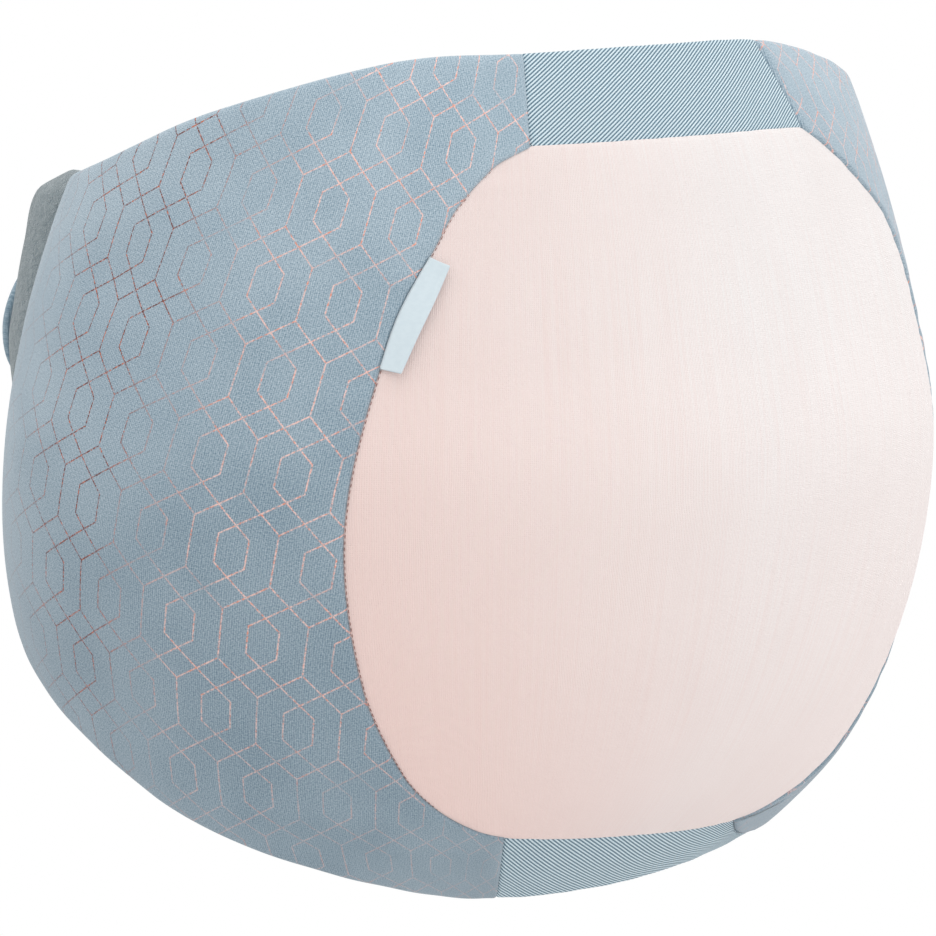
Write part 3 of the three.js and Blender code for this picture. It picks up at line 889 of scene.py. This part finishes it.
def outer_strap(material):
    """The outer back strap with its rounded closing tab."""
    columns = lines(150, OUTER_STRAP_LENGTH, 1.5 * MM)
    rows = lines(70, STRAP_HEIGHT, 1.5 * MM)

    def spot(u, v):
        start, _ = stepped(WING_REAR_ANGLE, 0.5, -STRAP_TUCK, 0)
        start = 360 - start
        angle = start + (tab_end(v) - start) * u
        end = np.minimum(u, 1 - u) * OUTER_STRAP_LENGTH
        hem = np.minimum(v, 1 - v) * STRAP_HEIGHT
        full = rolled(end, 1.5 * MM) * rolled(hem, 1.5 * MM)
        middle = outer_strap_offset(np.minimum(angle, 360 - WING_REAR_ANGLE), v) + TAB_THICKNESS / 2
        half = full * TAB_THICKNESS / 2
        uv = cloth_uv(angle - 360, v)
        hem_wave = ripples(uv[..., 0], hem, 24 * MM, 20 * MM, 0.2 * MM, 12)
        return angle, v, middle + half + hem_wave, middle - half + hem_wave, uv

    made = cloth("back_strap_left", columns, rows, spot, material, flip=True)
    return made


def hook_patch(material):
    """The hidden patch of hooks between the two straps."""
    edge = 0.8 * MM
    columns, rows = lines(30, HOOK_LENGTH, edge), lines(26, HOOK_HEIGHT, edge)

    def spot(u, v):
        angle = HOOK_FROM + (HOOK_TO - HOOK_FROM) * u
        share = HOOK_LOW + (HOOK_HIGH - HOOK_LOW) * v
        end = np.minimum(u, 1 - u) * HOOK_LENGTH
        hem = np.minimum(v, 1 - v) * HOOK_HEIGHT
        full = rolled(end, edge) * rolled(hem, edge)
        middle = strap_offset(angle, share) + SEAM_GAP + HOOK_THICKNESS / 2
        half = full * HOOK_THICKNESS / 2
        return angle, share, middle + half, middle - half, cloth_uv(angle, share)

    made = cloth("hook_patch", columns, rows, spot, material)
    return made


def side_tag(material):
    """The folded satin tag: two layers with the fold at the free edge, lifting off the panel."""
    layers, turns, tuck = 10, 8, 0.12
    across = np.linspace(-tuck, 1, layers)
    fold = np.linspace(-math.pi / 2, math.pi / 2, turns)[1:-1]
    half_gap = TAG_THICKNESS / 4
    # The ribbon's middle line, square to the seam: out along the lower layer, round the fold, and back
    out = np.concatenate([across, 1 + 0.05 * np.cos(fold), across[::-1]])
    high = np.concatenate([-half_gap + 0 * across, half_gap * np.sin(fold), half_gap + 0 * across])
    layer_half = TAG_THICKNESS / 5
    lengthways = lines(36, TAG_LENGTH, 0.4 * MM)
    u, v = np.meshgrid(out, lengthways)
    gap = np.meshgrid(high, lengthways)[0]
    rise = seam_rise(TAG_FROM + (TAG_TO - TAG_FROM) * v)
    width = TAG_WIDTH * (1 + TAG_BELLY * np.sin(math.pi * v))
    angle, share = shifted_front_edge(rise, 1, -width * u - SEAM_GAP)
    middle = -PANEL_DROP + SEAM_GAP + TAG_THICKNESS / 2 + TAG_RISE * np.clip(u, 0, 1.05) ** 1.5
    middle = middle + TAG_WAVE * np.sin(v * 5.0) * np.clip(u, 0, 1)
    open_end = 1 + 0.8 * np.exp(-np.minimum(v, 1 - v) * 14)
    centre = place(angle, share, middle + gap * open_end)
    steps = np.gradient(centre, axis=1)
    lengths = np.gradient(centre, axis=0)
    normal = np.cross(lengths, steps)
    normal /= np.linalg.norm(normal, axis=-1, keepdims=True)
    thin = rolled(np.minimum(v, 1 - v) * TAG_LENGTH, 0.4 * MM)[..., None] * layer_half
    points = np.concatenate([(centre + side * normal * thin).reshape(-1, 3) for side in (1, -1)])
    uv = np.stack([u * TAG_WIDTH, v * TAG_LENGTH], -1).reshape(-1, 2)
    uv = np.concatenate([uv, uv])
    faces = grid_faces(len(out), len(lengthways))[:, ::-1]
    made = mesh_object("side_tag", points, faces, uv, material, "side_tag")
    return made


# Stitches

SEAM_STITCH_PITCH = 2.1 * MM
SEAM_STITCH_DEPTH = 1.25 * MM
SEAM_STITCH_SHIFT = 0.25 * MM
TAB_STITCH_PITCH = 6 * MM
TAB_STITCH_INSET = 1.3


def thread_stitch(length, width):
    """One short thread stitch, modelled once: (points, faces), with its length along Y."""
    bpy.ops.object.select_all(action="DESELECT")
    bpy.ops.mesh.primitive_uv_sphere_add(segments=6, ring_count=5, radius=0.5)
    model = bpy.context.object
    bpy.ops.object.mode_set(mode="EDIT")
    bpy.ops.mesh.select_all(action="SELECT")
    bpy.ops.transform.resize(value=(width, width * 0.7, length))
    bpy.ops.object.mode_set(mode="OBJECT")
    points = np.array([(v.co.x, v.co.z, -v.co.y) for v in model.data.vertices])
    points[:, 2] += (0.25 - (points[:, 1] / length) ** 2) * width
    faces = [list(face.vertices) for face in model.data.polygons]
    bpy.data.objects.remove(model)
    return points, faces


def stitch_row(name, angle, share, offset, pitch, stitch, material):
    """A row of stitches along a line on the body's form."""
    path = place(angle, share, offset)
    normal = outward(angle, share)
    walked = np.concatenate([[0], np.cumsum(spacing(path, 0))])
    stops = np.arange(pitch / 2, walked[-1], pitch)

    def along(values, shift):
        return np.stack([np.interp(stops + shift, walked, values[:, k]) for k in range(3)], -1)

    centres, ups = along(path, 0), along(normal, 0)
    runs = along(path, pitch * 0.3) - along(path, -pitch * 0.3)
    runs /= np.linalg.norm(runs, axis=1, keepdims=True)
    ups /= np.linalg.norm(ups, axis=1, keepdims=True)
    sides = np.cross(runs, ups)
    points, faces = stitch
    laid = points[:, 0:1, None] * sides + points[:, 1:2, None] * runs + points[:, 2:3, None] * ups
    laid = centres[:, None, :] + np.swapaxes(laid, 0, 1)
    numbered = [[corner + len(points) * k for corner in face] for k in range(len(stops)) for face in faces]
    return mesh_object(name, laid.reshape(-1, 3), numbered, None, material)


def seam_stitches():
    """Threads in the seams round the panel and at the elastics' ends, and on the closing tab."""
    rosy = thread("Rosy brown thread", "#A87B74", "#7D5450")
    dark = thread("Dark brown thread", "#6B5655", "#4A3C3E")
    pale = thread("Pale thread", "#DDE4E6", "#B9C4C8")
    fine = thread_stitch(1.4 * MM, 0.32 * MM)
    for side, word in ((1, "right"), (-1, "left")):
        for part, low, high, colour in (
            ("panel", SEAM_START, SEAM_FINISH, rosy),
            ("top_elastic", SEAM_FINISH, 0.995, dark),
            ("bottom_elastic", 0.005, SEAM_START, dark),
        ):
            rise = np.linspace(low, high, 500)
            angle, share = shifted_front_edge(rise, side, -side * SEAM_STITCH_SHIFT)
            depth = 0 * rise - SEAM_STITCH_DEPTH
            name = f"{part}_thread_{word}"
            stitch_row(name, angle, share, depth, SEAM_STITCH_PITCH, fine, colour)
    share = np.linspace(TAB_MIDDLE - TAB_HALF_SHARE, TAB_MIDDLE + TAB_HALF_SHARE, 200)
    angle = tab_end(share) + TAB_STITCH_INSET
    offset = outer_strap_offset(angle, share) + TAB_THICKNESS
    coarse = thread_stitch(1.6 * MM, 0.5 * MM)
    stitch_row("tab_stitches", angle, share, offset, TAB_STITCH_PITCH, coarse, pale)


# Scene

FLOOR_LEVEL = -0.45
FLOOR_SIZE = 60.0
WORLD_LOW = 0.1
WORLD_HIGH = 1.4

# The lights' places and widths in metres, and their power in watts
Light = namedtuple("Light", "name place width power")
LIGHTS = [
    Light("key", (0.9, -2.2, 1.0), 1.4, 4),
    Light("top", (-0.3, -0.5, 2.3), 1.4, 7),
    Light("right", (2.2, -1.0, 0.8), 1.4, 4.5),
    Light("low_front", (0.3, -2.3, -0.3), 1.2, 4),
]

# The camera's angles in degrees and its distance in metres. The picture's sizes are in pixels.
CAMERA_ROUND = 40.0
CAMERA_ABOVE = 7.5
CAMERA_DISTANCE = 2.5
SENSOR_WIDTH = 36.0
PICTURE_SIZE = 936
PIXELS_PER_METRE = 2920.0
ORIGIN_IN_PICTURE = (486.0, 471.0)


def soft_light(light):
    """A square soft light that looks at the belt."""
    data = bpy.data.lights.new(light.name, "AREA")
    data.size, data.energy = light.width, light.power
    made = bpy.data.objects.new(light.name, data)
    bpy.context.collection.objects.link(made)
    made.location = light.place
    made.rotation_euler = (-Vector(light.place)).to_track_quat("-Z", "Y").to_euler()


def studio():
    """A pale floor and surroundings that the camera sees as white, and big soft lights."""
    bpy.ops.object.select_all(action="DESELECT")
    bpy.ops.mesh.primitive_plane_add(size=FLOOR_SIZE, location=(0, 0, FLOOR_LEVEL))
    floor = bpy.context.object
    floor.name = "floor"
    material, tree = start_material("White paper sweep")
    seen = add(tree, "LightPath", {}).outputs["Is Camera Ray"]
    paper = add(tree, "BsdfDiffuse", {"Color": linear("#D8D8D8")})
    white = add(tree, "Emission", {"Color": (1, 1, 1, 1), "Strength": 1.0})
    add(tree, "OutputMaterial", [add(tree, "MixShader", [seen, paper, white])])
    floor.data.materials.append(material)
    world = bpy.data.worlds.new("Studio")
    bpy.context.scene.world = world
    world.use_nodes = True
    tree = world.node_tree
    tree.nodes.clear()
    direction = add(tree, "TexCoord", {}).outputs["Generated"]
    height = add(tree, "SeparateXYZ", [direction]).outputs[2]
    ends = {"Value": height, "From Min": -1.0, "From Max": 1.0, "To Min": WORLD_LOW, "To Max": WORLD_HIGH}
    brightness = add(tree, "MapRange", ends)
    ambient = add(tree, "Background", {"Color": (1, 1, 1, 1), "Strength": brightness})
    backdrop = add(tree, "Background", {"Color": (1, 1, 1, 1), "Strength": 1.0})
    seen = add(tree, "LightPath", {}).outputs["Is Camera Ray"]
    add(tree, "OutputWorld", [add(tree, "MixShader", [seen, ambient, backdrop])])
    for light in LIGHTS:
        soft_light(light)


def camera():
    """The photograph's camera: a long lens at the wearer's right front, a little above."""
    turn, lift = math.radians(CAMERA_ROUND), math.radians(CAMERA_ABOVE)
    back = Vector((-math.sin(turn) * math.cos(lift), -math.cos(turn) * math.cos(lift), math.sin(lift)))
    data = bpy.data.cameras.new("Camera")
    data.sensor_width = SENSOR_WIDTH
    data.lens = SENSOR_WIDTH * PIXELS_PER_METRE * CAMERA_DISTANCE / PICTURE_SIZE
    data.shift_x = (PICTURE_SIZE / 2 - ORIGIN_IN_PICTURE[0]) / PICTURE_SIZE
    data.shift_y = (ORIGIN_IN_PICTURE[1] - PICTURE_SIZE / 2) / PICTURE_SIZE
    data.clip_start, data.clip_end = 0.1, 100
    made = bpy.data.objects.new("Camera", data)
    bpy.context.collection.objects.link(made)
    made.location = back * CAMERA_DISTANCE
    made.rotation_euler = (-back).to_track_quat("-Z", "Y").to_euler()
    bpy.context.scene.camera = made
    bpy.context.scene.view_settings.view_transform = "Standard"


camera()
foil_jersey, lining = wing_jersey(), lining_jersey()
belly_panel(panel_jersey())
elastics()
side_wing("side_wing_right", 1, foil_jersey, lining)
side_wing("side_wing_left", -1, foil_jersey, lining)
inner_strap(brushed_loop())
outer_strap(tab_jersey())
hook_patch(hook_tape())
side_tag(satin_ribbon())
seam_stitches()
studio()
